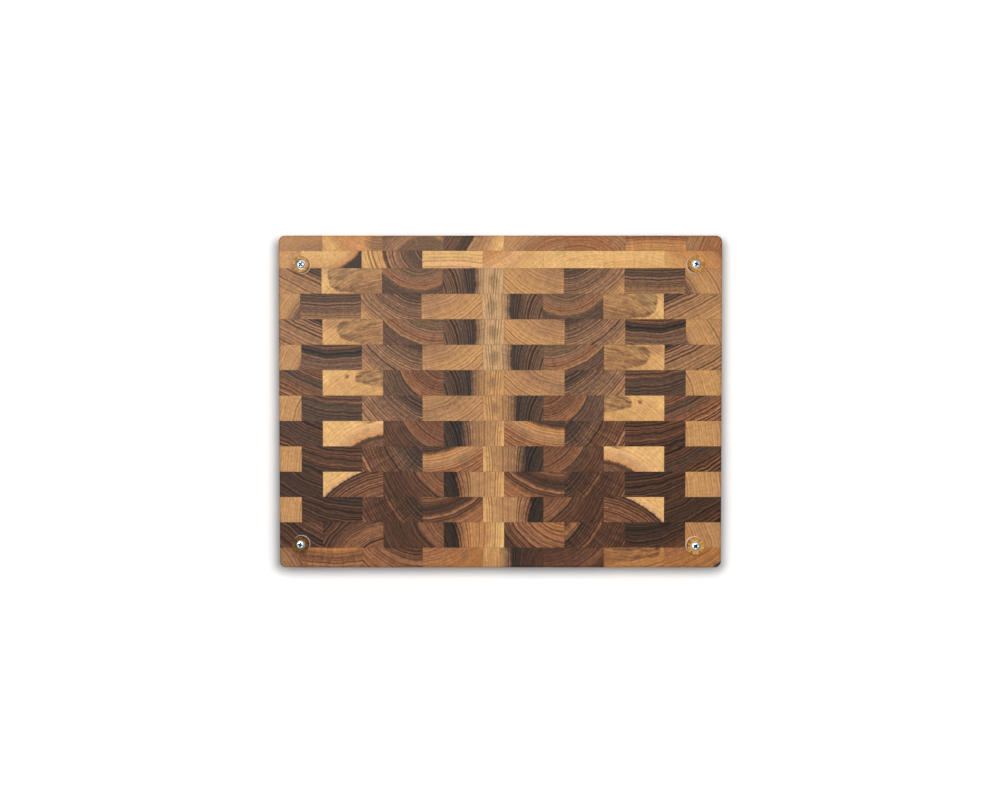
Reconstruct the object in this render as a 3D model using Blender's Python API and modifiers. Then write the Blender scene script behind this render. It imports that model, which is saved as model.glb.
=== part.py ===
"""End-grain walnut cutting board that stands on four clear screw-on feet.

Fourteen strips of wood lie side by side across the board. Each strip is eight
blocks with their end grain up, and every second strip is turned end for end, so
the block joints step like brickwork. A foot is held by a pan-head screw with a
washer under its head. Metres, +Z up, the feet stand on z = 0, and the cutting
face is on top.
"""

import math

import bmesh
import bpy
from mathutils import Matrix

# Board
BOARD_LENGTH = 0.457
BOARD_THICKNESS = 0.038
CORNER_RADIUS = 0.0065
EDGE_ROUND = 0.003
FULL_STRIP = 0.0262
STRIP_DEPTHS = [0.0160, 0.0178] + [FULL_STRIP] * 11 + [0.0210]
BLOCK_WIDTH = 0.06235
BLOCKS_IN_A_STRIP = 8
FIRST_JOINT_OF_ODD_STRIPS = 0.0453
FIRST_JOINT_OF_EVEN_STRIPS = 0.0234
STRIP_SLIPS = {3: -0.0009, 4: -0.0009}  # how far these strips slid along in the glue
GLUE_LINE = 0.0003
SCRIBE_DEPTH = 0.0003
TRIM_ALLOWANCE = 0.010

# Foot, washer and screw
FIT_GAP = 0.0003
FOOT_HEIGHT = 0.0095
FOOT_BASE_RADIUS = 0.0090
FOOT_GROUND_RADIUS = 0.0087
FOOT_ROUND = 0.0006
RECESS_RADIUS = 0.0054
RECESS_DRAFT = 0.0002
WASHER_RADIUS = 0.0047
WASHER_THICKNESS = 0.0010
HEAD_CLEARANCE = 0.0010
HEAD_RADIUS = 0.00395
HEAD_HEIGHT = 0.0023
HEAD_EDGE = 0.0007
HEAD_CURVE = [(0.93, 0.65), (0.74, 0.92)]  # shares of the head's radius and height
SCREW_LENGTH = 0.0254
THREAD_MAJOR_RADIUS = 0.0021
THREAD_ROOT_RADIUS = 0.00145
PLAIN_SHANK = 0.0065
THREAD_PITCH = 0.0028
THREAD_RIDGE_SHARE = 0.62  # of the pitch, the rest is bare root
POINT_LENGTH = 0.0040
RECESS_SPAN = 0.0046
RECESS_WING = 0.0011
RECESS_DEPTH = 0.0017
RECESS_FLOOR_SHARE = 0.55

# Where each foot is screwed on, and how far its screw is turned, in degrees
FEET = {
    "front_left": (-0.2040, -0.1408, 45),
    "front_right": (0.2000, -0.1413, 18),
    "back_left": (-0.2055, 0.1464, 45),
    "back_right": (0.2004, 0.1478, 2),
}

# Worked out from the sizes above
BOARD_WIDTH = sum(STRIP_DEPTHS)
UNDERSIDE = FOOT_HEIGHT + FIT_GAP
TOP = UNDERSIDE + BOARD_THICKNESS
MIDDLE = (UNDERSIDE + TOP) / 2
HEAD_UNDERSIDE = HEAD_CLEARANCE + HEAD_HEIGHT
WASHER_LOW = HEAD_UNDERSIDE + FIT_GAP
RECESS_TOP = WASHER_LOW + WASHER_THICKNESS + FIT_GAP
SHANK_HOLE_RADIUS = THREAD_MAJOR_RADIUS + FIT_GAP
POINT_TIP = HEAD_UNDERSIDE + SCREW_LENGTH
PILOT_END = POINT_TIP + 4 * FIT_GAP

# How finely round pieces are made
CORNER_SEGMENTS = 6
EDGE_SEGMENTS = 3
FOOT_STEPS = 28
SCREW_STEPS = 16
ROWS_PER_PITCH = 4
SHARP_ANGLE = math.radians(35)

# Colour (linear), roughness, metallic value and alpha of each finish
FINISHES = {
    "walnut_pale": ((0.47, 0.27, 0.12), 0.5, 0.0, 1.0),
    "walnut_mid": ((0.21, 0.115, 0.055), 0.5, 0.0, 1.0),
    "walnut_dark": ((0.115, 0.060, 0.033), 0.5, 0.0, 1.0),
    "clear_foot": ((0.72, 0.55, 0.30), 0.2, 0.0, 0.45),
    "washer_steel": ((0.62, 0.58, 0.52), 0.45, 1.0, 1.0),
    "screw_steel": ((0.78, 0.80, 0.80), 0.25, 1.0, 1.0),
}


def clear_scene():
    for obj in list(bpy.data.objects):
        bpy.data.objects.remove(obj)


def new_collection(name):
    collection = bpy.data.collections.new(name)
    bpy.context.scene.collection.children.link(collection)
    return collection


def new_material(name):
    colour, roughness, metallic, alpha = FINISHES[name]
    material = bpy.data.materials.new(name)
    material.use_nodes = True
    shader = material.node_tree.nodes["Principled BSDF"]
    shader.inputs["Base Color"].default_value = (*colour, 1.0)
    shader.inputs["Roughness"].default_value = roughness
    shader.inputs["Metallic"].default_value = metallic
    shader.inputs["Alpha"].default_value = alpha
    return material


def add_object(name, mesh, collection, location=(0, 0, 0)):
    obj = bpy.data.objects.new(name, mesh)
    obj.location = location
    collection.objects.link(obj)
    return obj


def mark_as_cutter(obj):
    obj.hide_render = True
    obj.display_type = "WIRE"
    return obj


def add_box(bm, size, centre):
    place = Matrix.Translation(centre) @ Matrix.Diagonal((*size, 1))
    bmesh.ops.create_cube(bm, size=1, matrix=place)


def mesh_from(bm, name):
    mesh = bpy.data.meshes.new(name)
    bm.to_mesh(mesh)
    bm.free()
    return mesh


def boolean(obj, other, operation):
    modifier = obj.modifiers.new(other.name, "BOOLEAN")
    modifier.operation = operation
    modifier.object = other


def evaluated_mesh(obj, name):
    bpy.context.view_layer.update()
    graph = bpy.context.evaluated_depsgraph_get()
    mesh = bpy.data.meshes.new_from_object(obj.evaluated_get(graph))
    mesh.name = name
    return mesh


def turned_mesh(name, profile, steps, closed):
    """A profile of (radius, height) points, spun round Z."""
    points = [(radius, 0, height) for radius, height in profile]
    edges = [(i, i + 1) for i in range(len(points) - 1)]
    if closed:
        edges.append((len(points) - 1, 0))
    outline = bpy.data.meshes.new(name + "_profile")
    outline.from_pydata(points, edges, [])
    spun = bpy.data.objects.new(name + "_spun", outline)
    bpy.context.scene.collection.objects.link(spun)
    screw = spun.modifiers.new("turn", "SCREW")
    screw.steps = screw.render_steps = steps
    screw.use_merge_vertices = True
    screw.merge_threshold = 0.00001
    mesh = evaluated_mesh(spun, name)
    bpy.data.objects.remove(spun)
    return mesh


def shade(mesh):
    mesh.shade_smooth()
    mesh.set_sharp_from_angle(angle=SHARP_ANGLE)


# The whole board's outline, which every strip is trimmed to
def make_blank(cutters):
    bm = bmesh.new()
    add_box(bm, (BOARD_LENGTH, BOARD_WIDTH, BOARD_THICKNESS), (0, 0, MIDDLE))
    upright = [e for e in bm.edges if abs(e.verts[0].co.z - e.verts[1].co.z) > EDGE_ROUND]
    bmesh.ops.bevel(bm, geom=upright, offset=CORNER_RADIUS, segments=CORNER_SEGMENTS,
                    profile=0.5, affect="EDGES")
    rims = [e for e in bm.edges if abs(e.verts[0].co.z - e.verts[1].co.z) < FIT_GAP]
    bmesh.ops.bevel(bm, geom=rims, offset=EDGE_ROUND, segments=EDGE_SEGMENTS,
                    profile=0.5, affect="EDGES")
    return mark_as_cutter(add_object("board_blank", mesh_from(bm, "board_blank"), cutters))


def first_joint(number):
    start = FIRST_JOINT_OF_ODD_STRIPS if number % 2 else FIRST_JOINT_OF_EVEN_STRIPS
    return start + STRIP_SLIPS.get(number, 0)


# Fine lines over a strip's block joints, and down the board's side that the strip may lie on
def make_scribes(cutters, number):
    name = f"joint_lines_{number:02d}"
    outer_face = (-1 if number % 2 else 1) * BOARD_WIDTH / 2
    flat_run = BOARD_WIDTH - 2 * EDGE_ROUND
    upright_run = BOARD_THICKNESS - 2 * EDGE_ROUND
    bm = bmesh.new()
    for joint in range(BLOCKS_IN_A_STRIP - 1):
        x = -BOARD_LENGTH / 2 + first_joint(number) + joint * BLOCK_WIDTH
        for face in (UNDERSIDE, TOP):
            add_box(bm, (GLUE_LINE, flat_run, 2 * SCRIBE_DEPTH), (x, 0, face))
        add_box(bm, (GLUE_LINE, 2 * SCRIBE_DEPTH, upright_run), (x, outer_face, MIDDLE))
    return mark_as_cutter(add_object(name, mesh_from(bm, name), cutters))


def make_pilot(cutters, name, x, y):
    low = UNDERSIDE - BOARD_THICKNESS / 4
    bm = bmesh.new()
    bmesh.ops.create_cone(bm, cap_ends=True, segments=SCREW_STEPS, radius1=SHANK_HOLE_RADIUS,
                          radius2=SHANK_HOLE_RADIUS, depth=PILOT_END - low)
    pilot = add_object(name, mesh_from(bm, name), cutters, (x, y, (low + PILOT_END) / 2))
    return mark_as_cutter(pilot)


def strip_tone(number):
    if number == 2:
        return "walnut_pale"
    return "walnut_dark" if 9 <= number <= 13 else "walnut_mid"


def make_strip(parts, name, near, far):
    """A bar that runs across the board from near to far, over-size until the blank trims it."""
    size = (BOARD_LENGTH + TRIM_ALLOWANCE, far - near, BOARD_THICKNESS + TRIM_ALLOWANCE)
    bm = bmesh.new()
    add_box(bm, size, (0, 0, 0))
    return add_object(name, mesh_from(bm, name), parts, (0, (near + far) / 2, MIDDLE))


def make_strips(parts, cutters):
    blank = make_blank(cutters)
    front, back = -BOARD_WIDTH / 2, BOARD_WIDTH / 2
    pilots = [make_pilot(cutters, "pilot_" + spot, x, y) for spot, (x, y, _) in FEET.items()]
    woods = {tone: new_material(tone) for tone in ("walnut_pale", "walnut_mid", "walnut_dark")}
    low = front
    for number, depth in enumerate(STRIP_DEPTHS, start=1):
        high = low + depth
        near = low + GLUE_LINE / 2 if number > 1 else front - TRIM_ALLOWANCE
        far = high - GLUE_LINE / 2 if number < len(STRIP_DEPTHS) else back + TRIM_ALLOWANCE
        strip = make_strip(parts, f"strip_{number:02d}", near, far)
        strip.data.materials.append(woods[strip_tone(number)])
        boolean(strip, blank, "INTERSECT")
        boolean(strip, make_scribes(cutters, number), "DIFFERENCE")
        for pilot in pilots:
            if near - SHANK_HOLE_RADIUS < pilot.location.y < far + SHANK_HOLE_RADIUS:
                boolean(strip, pilot, "DIFFERENCE")
        low = high


def foot_mesh():
    round_start = FOOT_ROUND * (1 - math.sqrt(0.5))
    profile = [
        (FOOT_BASE_RADIUS, FOOT_HEIGHT),
        (FOOT_GROUND_RADIUS, FOOT_ROUND),
        (FOOT_GROUND_RADIUS - round_start, round_start),
        (FOOT_GROUND_RADIUS - FOOT_ROUND, 0),
        (RECESS_RADIUS + FOOT_ROUND, 0),
        (RECESS_RADIUS, FOOT_ROUND),
        (RECESS_RADIUS - RECESS_DRAFT, RECESS_TOP),
        (SHANK_HOLE_RADIUS, RECESS_TOP),
        (SHANK_HOLE_RADIUS, FOOT_HEIGHT),
    ]
    return turned_mesh("foot", profile, FOOT_STEPS, closed=True)


def washer_mesh():
    washer_top = WASHER_LOW + WASHER_THICKNESS
    profile = [
        (WASHER_RADIUS, washer_top),
        (WASHER_RADIUS, WASHER_LOW),
        (SHANK_HOLE_RADIUS, WASHER_LOW),
        (SHANK_HOLE_RADIUS, washer_top),
    ]
    return turned_mesh("washer", profile, FOOT_STEPS, closed=True)


def screw_profile():
    """From the point, down the thread and the plain shank, over the pan head."""
    row = THREAD_PITCH / ROWS_PER_PITCH
    thread_low = HEAD_UNDERSIDE + PLAIN_SHANK
    rows = int((POINT_TIP - POINT_LENGTH - thread_low) / row)
    profile = [(0, POINT_TIP), (THREAD_ROOT_RADIUS / 2, POINT_TIP - POINT_LENGTH / 2)]
    profile += [(THREAD_ROOT_RADIUS, thread_low + i * row) for i in range(rows, -1, -1)]
    profile += [
        (THREAD_MAJOR_RADIUS, thread_low - row),
        (THREAD_MAJOR_RADIUS, HEAD_UNDERSIDE),
        (HEAD_RADIUS, HEAD_UNDERSIDE),
        (HEAD_RADIUS, HEAD_UNDERSIDE - HEAD_EDGE),
    ]
    profile += [(HEAD_RADIUS * out, HEAD_UNDERSIDE - HEAD_HEIGHT * down) for out, down in HEAD_CURVE]
    profile.append((0, HEAD_CLEARANCE))
    return profile


def wind_thread(mesh):
    """Lifts the threaded length into one ridge that climbs round the shank."""
    low = HEAD_UNDERSIDE + PLAIN_SHANK
    high = POINT_TIP - POINT_LENGTH
    for vertex in mesh.vertices:
        co = vertex.co
        radius = math.hypot(co.x, co.y)
        if not low < co.z < high or radius > THREAD_MAJOR_RADIUS:
            continue
        turn = (co.z / THREAD_PITCH - math.atan2(co.y, co.x) / math.tau) % 1
        ridge = max(0.0, 1 - abs(2 * turn - 1) / THREAD_RIDGE_SHARE)
        wanted = THREAD_ROOT_RADIUS + (THREAD_MAJOR_RADIUS - THREAD_ROOT_RADIUS) * ridge
        co.x *= wanted / radius
        co.y *= wanted / radius


def make_wing(cutters, name, turn):
    """One bar of the cross recess, narrower at its floor."""
    floor = HEAD_CLEARANCE + RECESS_DEPTH
    mouth = HEAD_CLEARANCE - RECESS_DEPTH / 2
    bm = bmesh.new()
    add_box(bm, (RECESS_SPAN, RECESS_WING, floor - mouth), (0, 0, (floor + mouth) / 2))
    for vertex in bm.verts:
        if vertex.co.z > HEAD_CLEARANCE:
            vertex.co.x *= RECESS_FLOOR_SHARE
    bmesh.ops.rotate(bm, verts=bm.verts, matrix=Matrix.Rotation(turn, 3, "Z"))
    return mark_as_cutter(add_object(name, mesh_from(bm, name), cutters))


def screw_mesh(cutters):
    mesh = turned_mesh("screw_blank", screw_profile(), SCREW_STEPS, closed=False)
    wind_thread(mesh)
    blank = add_object("screw_blank", mesh, cutters)
    wings = [make_wing(cutters, "recess_bar", 0), make_wing(cutters, "recess_cross_bar", math.pi / 2)]
    for wing in wings:
        boolean(blank, wing, "DIFFERENCE")
    cut = evaluated_mesh(blank, "screw")
    for obj in [blank, *wings]:
        bpy.data.objects.remove(obj)
    return cut


def make_feet(parts, cutters):
    pieces = {
        "foot": (foot_mesh(), new_material("clear_foot")),
        "washer": (washer_mesh(), new_material("washer_steel")),
        "screw": (screw_mesh(cutters), new_material("screw_steel")),
    }
    for mesh, material in pieces.values():
        shade(mesh)
        mesh.materials.append(material)
    for spot, (x, y, turn) in FEET.items():
        for piece, (mesh, _) in pieces.items():
            obj = add_object(f"{piece}_{spot}", mesh, parts, (x, y, 0))
            obj.rotation_euler.z = math.radians(turn)


def main():
    clear_scene()
    parts = new_collection("cutting_board")
    cutters = new_collection("cutters")
    make_strips(parts, cutters)
    make_feet(parts, cutters)


main()
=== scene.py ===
# End-grain walnut cutting board on four clear screwed feet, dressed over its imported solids.
import math
import bmesh
import bpy
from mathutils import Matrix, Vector


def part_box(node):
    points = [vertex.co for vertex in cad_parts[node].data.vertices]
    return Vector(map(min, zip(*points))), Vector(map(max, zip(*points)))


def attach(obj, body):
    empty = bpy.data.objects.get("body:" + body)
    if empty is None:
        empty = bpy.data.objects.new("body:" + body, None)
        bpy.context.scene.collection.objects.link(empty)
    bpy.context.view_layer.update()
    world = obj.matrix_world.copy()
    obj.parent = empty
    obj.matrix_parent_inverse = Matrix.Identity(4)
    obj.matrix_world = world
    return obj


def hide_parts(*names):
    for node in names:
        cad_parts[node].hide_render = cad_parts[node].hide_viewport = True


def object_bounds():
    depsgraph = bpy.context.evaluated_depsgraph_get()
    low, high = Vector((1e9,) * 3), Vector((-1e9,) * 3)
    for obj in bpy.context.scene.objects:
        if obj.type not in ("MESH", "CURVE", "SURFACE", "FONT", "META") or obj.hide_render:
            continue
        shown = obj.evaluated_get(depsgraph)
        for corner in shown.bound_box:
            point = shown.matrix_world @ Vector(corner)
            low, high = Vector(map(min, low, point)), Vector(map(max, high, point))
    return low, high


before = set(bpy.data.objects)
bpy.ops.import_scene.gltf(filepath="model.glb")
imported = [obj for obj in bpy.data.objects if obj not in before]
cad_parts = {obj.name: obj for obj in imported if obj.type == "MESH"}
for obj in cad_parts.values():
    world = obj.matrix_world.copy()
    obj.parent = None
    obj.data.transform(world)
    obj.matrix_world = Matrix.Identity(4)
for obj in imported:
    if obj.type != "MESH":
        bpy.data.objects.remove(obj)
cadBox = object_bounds()
print("frame loaded:", len(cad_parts), "nodes")

underside, cuttingFace = [corner.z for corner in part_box("strip_03")]
boardThick = cuttingFace - underside
feetNames = ["front_left", "front_right", "back_left", "back_right"]
mmPerMetre = 1000
hairline = 1e-6    # m, points closer than this are one


# Small helpers

def deselectAll():
    bpy.ops.object.select_all(action="DESELECT")


def holdOnly(obj):
    deselectAll()
    obj.select_set(True)
    bpy.context.view_layer.objects.active = obj


def bakePlace(obj):
    holdOnly(obj)
    bpy.ops.object.transform_apply(location=True, rotation=True, scale=True)


def pickEdges(obj, test):  # edit mode, with only the edges that pass the test selected
    bpy.ops.object.mode_set(mode="EDIT")
    bpy.ops.mesh.select_mode(type="EDGE")
    bpy.ops.mesh.select_all(action="DESELECT")
    for edge in bmesh.from_edit_mesh(obj.data).edges:
        if test(edge):
            edge.select_set(True)
    bmesh.update_edit_mesh(obj.data)


def applyAll(obj):
    holdOnly(obj)
    for name in [m.name for m in obj.modifiers]:
        bpy.ops.object.modifier_apply(modifier=name)


def cutAway(obj, tool):  # takes a tool's shape out of a piece, and the tool with it
    cut = obj.modifiers.new("cut", "BOOLEAN")
    cut.operation = "DIFFERENCE"
    cut.object = tool
    applyAll(obj)
    bpy.data.objects.remove(tool)


def twin(obj, name):
    copied = obj.copy()
    copied.data = obj.data.copy()
    copied.name = name
    copied.data.name = name
    bpy.context.collection.objects.link(copied)
    return copied


def dress(obj, node, finish):
    obj.data.materials.clear()
    obj.data.materials.append(finish)
    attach(obj, "root")
    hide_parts(node)


def linear(tone):  # a colour as a screen shows it, 0 to 255, made linear
    parts = [c / 255 for c in tone]
    return [c / 12.92 if c < 0.04045 else ((c + 0.055) / 1.055) ** 2.4 for c in parts]


# Shader sums

class Wire:
    def __init__(self, tree, socket=None):
        self.tree = tree
        self.socket = socket

    def node(self, kind, settings, sockets, out=0):
        made = self.tree.nodes.new(kind)
        for name, value in settings.items():
            setattr(made, name, value)
        for key, value in sockets.items():
            if isinstance(value, Wire):
                self.tree.links.new(value.socket, made.inputs[key])
            else:
                made.inputs[key].default_value = value
        return Wire(self.tree, made.outputs[out])

    def calc(self, operation, *others, clamp=False):  # a Math node, with this wire first
        settings = {"operation": operation, "use_clamp": clamp}
        return self.node("ShaderNodeMath", settings, dict(enumerate((self,) + others)))

    def vector(self, operation, *others):  # a Vector Math node, with this vector or colour first
        return self.node("ShaderNodeVectorMath", {"operation": operation}, dict(enumerate((self,) + others)))

    def __add__(self, other):
        return self.calc("ADD", other)

    def __sub__(self, other):
        return self.calc("SUBTRACT", other)

    def __rsub__(self, other):
        return self.node("ShaderNodeMath", {"operation": "SUBTRACT"}, {0: other, 1: self})

    def __mul__(self, other):
        return self.calc("MULTIPLY", other)

    def __truediv__(self, other):
        return self.calc("DIVIDE", other)

    def __rtruediv__(self, other):
        return self.node("ShaderNodeMath", {"operation": "DIVIDE"}, {0: other, 1: self})

    __radd__ = __add__
    __rmul__ = __mul__

    def held(self):  # kept between 0 and 1
        return self.calc("ADD", 0.0, clamp=True)

    def step(self, low, high):  # 0 below low, 1 above high, soft between
        sockets = {0: self, 1: low, 2: high, 3: 0.0, 4: 1.0}
        return self.node("ShaderNodeMapRange", {"interpolation_type": "SMOOTHSTEP"}, sockets)

    def ramp(self, low, high):  # 0 below low, 1 above high, straight between
        return self.node("ShaderNodeMapRange", {}, {0: self, 1: low, 2: high, 3: 0.0, 4: 1.0})

    def scaled(self, size):  # a vector or colour made larger or smaller
        return self.node("ShaderNodeVectorMath", {"operation": "SCALE"}, {0: self, "Scale": size})

    def noise(self, scale, detail=2.0, rough=0.5, space="3D", out="Fac"):
        sockets = {"W" if space == "1D" else "Vector": self, "Scale": scale,
                   "Detail": detail, "Roughness": rough}
        return self.node("ShaderNodeTexNoise", {"noise_dimensions": space}, sockets, out)

    def between(self, first, second):  # colours, by this wire as the share of the second
        settings = {"data_type": "RGBA", "blend_type": "MIX"}
        return self.node("ShaderNodeMix", settings, {0: self, 6: first, 7: second}, 2)

    def attribute(self, name, out="Vector"):
        settings = {"attribute_type": "GEOMETRY", "attribute_name": name}
        return self.node("ShaderNodeAttribute", settings, {}, out)

    def split(self):
        parts = self.node("ShaderNodeSeparateXYZ", {}, {0: self}).socket.node
        return [Wire(self.tree, socket) for socket in parts.outputs]

    def joined(self, x, y, z):
        return self.node("ShaderNodeCombineXYZ", {}, {0: x, 1: y, 2: z})


def newFinish(name):
    finish = bpy.data.materials.new(name)
    finish.use_nodes = True
    tree = finish.node_tree
    return finish, Wire(tree), tree.nodes["Principled BSDF"]


def feed(shader, sockets):  # what varies over the surface is linked, and the rest is set
    for name, value in sockets.items():
        if isinstance(value, Wire):
            value.tree.links.new(value.socket, shader.inputs[name])
        else:
            shader.inputs[name].default_value = value


# Camera, stage and lights

photoView = {
    "pixelsWide": 1000,
    "metresPerPixel": 0.001031,   # on the underside
    "distance": 1.15,             # from the underside
    "tilt": math.radians(1.3),    # the strip_14 side is the farther one
    "aside": -0.00046,            # of the board's middle
    "ahead": -0.0006,
    "sensor": 36.0,
}


def photoCamera():
    distance, tilt, sensor = photoView["distance"], photoView["tilt"], photoView["sensor"]
    data = bpy.data.cameras.new("photoCamera")
    data.sensor_width = sensor
    data.lens = sensor * distance / (photoView["pixelsWide"] * photoView["metresPerPixel"])
    camera = bpy.data.objects.new("photoCamera", data)
    bpy.context.collection.objects.link(camera)
    camera.location = (photoView["aside"], photoView["ahead"] - distance * math.sin(tilt),
                       underside - distance * math.cos(tilt))
    camera.rotation_euler = (math.pi - tilt, 0, 0)
    bpy.context.scene.camera = camera


studio = {
    "ambient": 0.36,         # even light from all round
    "lampShare": 0.64,       # what a lamp adds on the face that it points at
    "lampRadius": 0.45,
    "lampDistance": 1.6,
    "underLean": math.radians(9),     # towards the strip_01 side
    "overLean": math.radians(32),
    "overTurn": math.radians(-25),
    "sheenShare": 1.5,       # a cool lamp at the photo's upper left that adds a sheen only
    "sheenTint": (0.80, 0.93, 1.0),
    "sheenReach": (-0.58, -0.28, -1.0),
    "sheetSize": 6.0,
    "sheetGap": 0.0004,
    "sheetTone": 1.2,        # over-exposed, as the photo's white ground is
    "sheetLift": 0.3,        # more so towards the photo's corners
    "sheetFar": 1.8,         # and far off
    "liftReach": (0.03, 0.4, 2.0),    # from the board's edge: lift starts, is full, and is full far off
    "shadowPaint": 0.97,         # how dark the painted shadow makes the ground under the board
    "shadowPaintIn": 0.0085,     # from full dark inside the edge
    "shadowPaintOut": 0.0198,    # to white outside it
    "shadowPaintShift": 0.0042,  # the painted shadow is wider on the strip_14 side
    "shadowPaintTrim": 0.0036,
    "shadowPaintAside": 0.0010,  # and on the photo's left
    "shadowPaintWiden": 0.0030,
}


def softLamp(name, direction, share, distance, tint=(1, 1, 1)):
    radius = studio["lampRadius"] * distance / studio["lampDistance"]
    spread = radius ** 2 / (radius ** 2 + distance ** 2)
    data = bpy.data.lights.new(name, "AREA")
    data.shape = "DISK"
    data.size = 2 * radius
    data.energy = share / spread * math.pi * math.pi * radius ** 2    # watts, for that share on the face
    data.color = tint
    lamp = bpy.data.objects.new(name, data)
    bpy.context.collection.objects.link(lamp)
    lamp.location = Vector((0, 0, underside)) + direction.normalized() * distance
    lamp.rotation_euler = direction.to_track_quat("Z", "Y").to_euler()
    lamp.visible_camera = False
    lamp.visible_transmission = False    # no sparkles through the clear feet
    return lamp


def studioLamps():
    under, over, turn = studio["underLean"], studio["overLean"], studio["overTurn"]
    below = Vector((0, -math.sin(under), -math.cos(under)))
    above = Vector((math.sin(over) * math.sin(turn), -math.sin(over) * math.cos(turn), math.cos(over)))
    for name, direction in (("underLamp", below), ("overLamp", above)):
        softLamp(name, direction, studio["lampShare"], studio["lampDistance"])
    sheen = Vector(studio["sheenReach"])
    lamp = softLamp("sheenLamp", sheen, studio["sheenShare"], sheen.length, studio["sheenTint"])
    lamp.visible_diffuse = False


def studioWorld():  # dim as a light, and white where the camera, a gloss or the clear feet show it
    world = bpy.data.worlds.new("studioWorld")
    bpy.context.scene.world = world
    world.use_nodes = True
    tree = world.node_tree
    names = ["Is Camera Ray", "Is Glossy Ray", "Is Transmission Ray"]
    camera, gloss, clear = [Wire(tree).node("ShaderNodeLightPath", {}, {}, name) for name in names]
    seen = camera.calc("MAXIMUM", gloss).calc("MAXIMUM", clear)
    strength = studio["ambient"] + seen * (1 - studio["ambient"])
    feed(tree.nodes["Background"], {"Color": (1, 1, 1, 1), "Strength": strength})


def paperFinish(name):  # matt white on its front, with the board's cast shadow and a painted shadow round the board, and nothing on its back
    finish, wire, shader = newFinish(name)
    wire.tree.nodes.remove(shader)
    x, y, _ = wire.node("ShaderNodeTexCoord", {}, {}, "Object").split()
    half = (cadBox[1] - cadBox[0]) / 2
    besideX = (x + studio["shadowPaintAside"]).calc("ABSOLUTE") - half.x - studio["shadowPaintWiden"]
    besideY = (y - studio["shadowPaintShift"]).calc("ABSOLUTE") - half.y + studio["shadowPaintTrim"]
    outX = besideX.calc("MAXIMUM", 0.0)
    outY = besideY.calc("MAXIMUM", 0.0)
    within = besideX.calc("MAXIMUM", besideY).calc("MINIMUM", 0.0)
    away = (outX * outX + outY * outY).calc("SQRT") + within
    # painted shadow: darker towards the board's edge, on top of the shadow the board really casts
    paintedShadow = 1 - away.step(-studio["shadowPaintIn"], studio["shadowPaintOut"])
    near, middle, far = studio["liftReach"]
    lift = away.step(near, middle) * studio["sheetLift"] + away.step(middle, far) * studio["sheetFar"]
    shade = (studio["sheetTone"] + lift) * (1 - paintedShadow * studio["shadowPaint"])
    matt = wire.node("ShaderNodeBsdfDiffuse", {}, {"Color": wire.joined(shade, shade, shade)})
    clear = wire.node("ShaderNodeBsdfTransparent", {}, {})
    back = wire.node("ShaderNodeNewGeometry", {}, {}, "Backfacing")
    both = wire.node("ShaderNodeMixShader", {}, {0: back, 1: matt, 2: clear})
    feed(wire.tree.nodes["Material Output"], {"Surface": both})
    return finish


def paperSheet(name, height, turned):
    deselectAll()
    bpy.ops.mesh.primitive_plane_add(size=studio["sheetSize"], location=(0, 0, height),
                                     rotation=(math.pi if turned else 0, 0, 0))
    sheet = bpy.context.object
    sheet.name = name
    bakePlace(sheet)
    sheet.data.materials.append(paperFinish(name + "Paper"))
    sheet.visible_shadow = False    # each sheet is only a ground for one side's views
    sheet.visible_diffuse = False
    sheet.visible_glossy = False
    sheet.visible_transmission = False


photoCamera()
studioLamps()
studioWorld()
paperSheet("floor", -studio["sheetGap"], False)
paperSheet("backdrop", cuttingFace + studio["sheetGap"], True)
bpy.context.scene.view_settings.view_transform = "Standard"
print("camera, stage and lights done")


# The walnut

tones = {
    "cream": (227, 178, 113), "honey": (214, 162, 101), "peach": (221, 168, 116), "straw": (199, 147, 93),
    "wheat": (198, 156, 110), "tan": (185, 135, 89), "amber": (195, 136, 83), "ochre": (175, 116, 66),
    "hazel": (162, 118, 81), "russet": (157, 103, 67), "chestnut": (140, 102, 76), "sienna": (138, 91, 62),
    "rust": (119, 77, 54), "olive": (116, 88, 63), "umber": (120, 88, 67), "cocoa": (104, 76, 59),
    "mocha": (92, 69, 55), "sepia": (98, 64, 45), "madder": (83, 54, 38), "bistre": (78, 59, 47),
    "wenge": (67, 47, 35), "ebony": (64, 51, 43), "coal": (54, 45, 39), "jet": (49, 38, 30),
}
shadeCount = 6    # colours in a block, at most
shadeGap = 5.0    # mm, between those that a block doesn't use

block = {"wide": 62.35, "deep": 26.2, "oddFirst": 45.3, "evenFirst": 23.4}   # mm
stripDepths = [16.0, 17.8] + [block["deep"]] * 11 + [21.0]                   # mm, from the strip_01 side
stripSlips = {3: -0.9, 4: -0.9}    # mm, how far these strips slid along in the glue

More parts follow.
